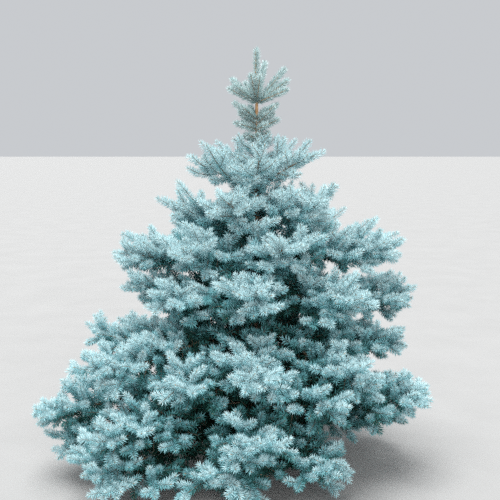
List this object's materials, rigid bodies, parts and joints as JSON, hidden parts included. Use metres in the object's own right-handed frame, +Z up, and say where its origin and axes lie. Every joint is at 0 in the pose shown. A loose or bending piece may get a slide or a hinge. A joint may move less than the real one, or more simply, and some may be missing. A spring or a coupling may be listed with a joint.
{
  "type": "blue spruce tree",
  "caption": "Young blue spruce: a tapering trunk with root flare, tiers of boughs and silvery blue needle masses, and a straight leader at the crown's tip",
  "frame": {"origin": "the middle of the flat cut under the trunk, at ground level", "axes": "+Z is up along the trunk, -Y is the side the picture was taken from, +X is that viewer's right"},
  "size_m": [2.0061, 1.9052, 2.102],
  "materials": {
    "bark": "rough grey-brown scaly bark",
    "limb_bark": "matte tan-brown bark of young limbs",
    "needles": "waxy silver-blue needles"
  },
  "bodies": {
    "root": {"trunk": "bark", "foliage_skirt_1": "needles", "foliage_skirt_2": "needles", "foliage_skirt_3": "needles", "foliage_skirt_4": "needles", "foliage_skirt_5": "needles", "foliage_skirt_6": "needles", "bough_low_1": "limb_bark", "foliage_low_1": "needles", "bough_low_2": "limb_bark", "foliage_low_2": "needles", "bough_low_3": "limb_bark", "foliage_low_3": "needles", "bough_low_4": "limb_bark", "foliage_low_4": "needles", "bough_low_5": "limb_bark", "foliage_low_5": "needles", "bough_low_6": "limb_bark", "foliage_low_6": "needles", "bough_broad_1": "limb_bark", "foliage_broad_1": "needles", "bough_broad_2": "limb_bark", "foliage_broad_2": "needles", "bough_broad_3": "limb_bark", "foliage_broad_3": "needles", "bough_broad_4": "limb_bark", "foliage_broad_4": "needles", "bough_broad_5": "limb_bark", "foliage_broad_5": "needles", "bough_broad_6": "limb_bark", "foliage_broad_6": "needles", "foliage_middle_1": "needles", "foliage_middle_2": "needles", "foliage_middle_3": "needles", "foliage_middle_4": "needles", "foliage_middle_5": "needles", "foliage_middle_6": "needles", "foliage_high_1": "needles", "foliage_high_2": "needles", "foliage_high_3": "needles", "foliage_high_4": "needles", "foliage_high_5": "needles", "foliage_high_6": "needles", "foliage_shoulder_1": "needles", "foliage_shoulder_2": "needles", "foliage_shoulder_3": "needles", "foliage_shoulder_4": "needles", "foliage_shoulder_5": "needles", "foliage_neck_1": "needles", "foliage_neck_2": "needles", "foliage_neck_3": "needles", "foliage_neck_4": "needles", "foliage_neck_5": "needles", "foliage_between_1": "needles", "foliage_between_2": "needles", "foliage_between_3": "needles", "foliage_crown_tip": "needles"}
  },
  "joints": []
}
